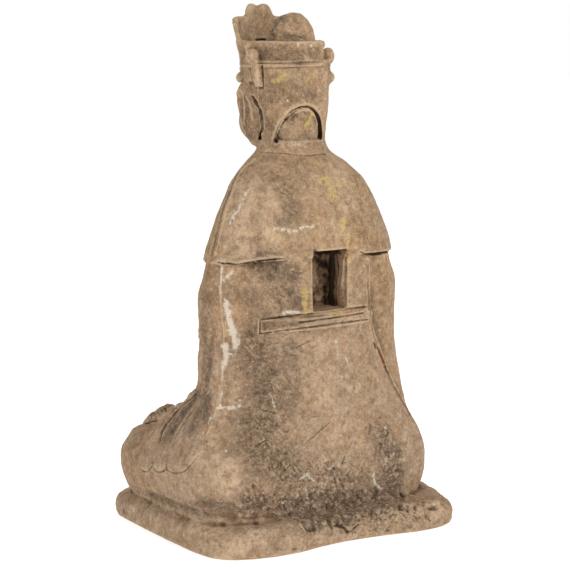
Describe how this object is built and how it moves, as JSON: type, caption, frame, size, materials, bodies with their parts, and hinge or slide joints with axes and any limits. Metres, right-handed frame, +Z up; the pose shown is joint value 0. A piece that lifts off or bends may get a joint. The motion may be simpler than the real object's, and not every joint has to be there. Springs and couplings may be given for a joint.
{
  "type": "guanyin statue",
  "caption": "Seated cross-legged Guanyin carved with its low rough base from one block of weathered tan stone: tall crown, short cape, wide sleeves, square recess in the back.",
  "frame": {"origin": "middle of the flat underside of the base", "axes": "+Z up; the figure faces -Y and its left side is +X"},
  "size_m": [0.43, 0.35, 0.75],
  "materials": {
    "stone": "weathered matt sandstone, tool-marked at the back, with traces of yellow and white pigment"
  },
  "bodies": {
    "root": {"guanyin_figure": "stone"}
  },
  "joints": []
}
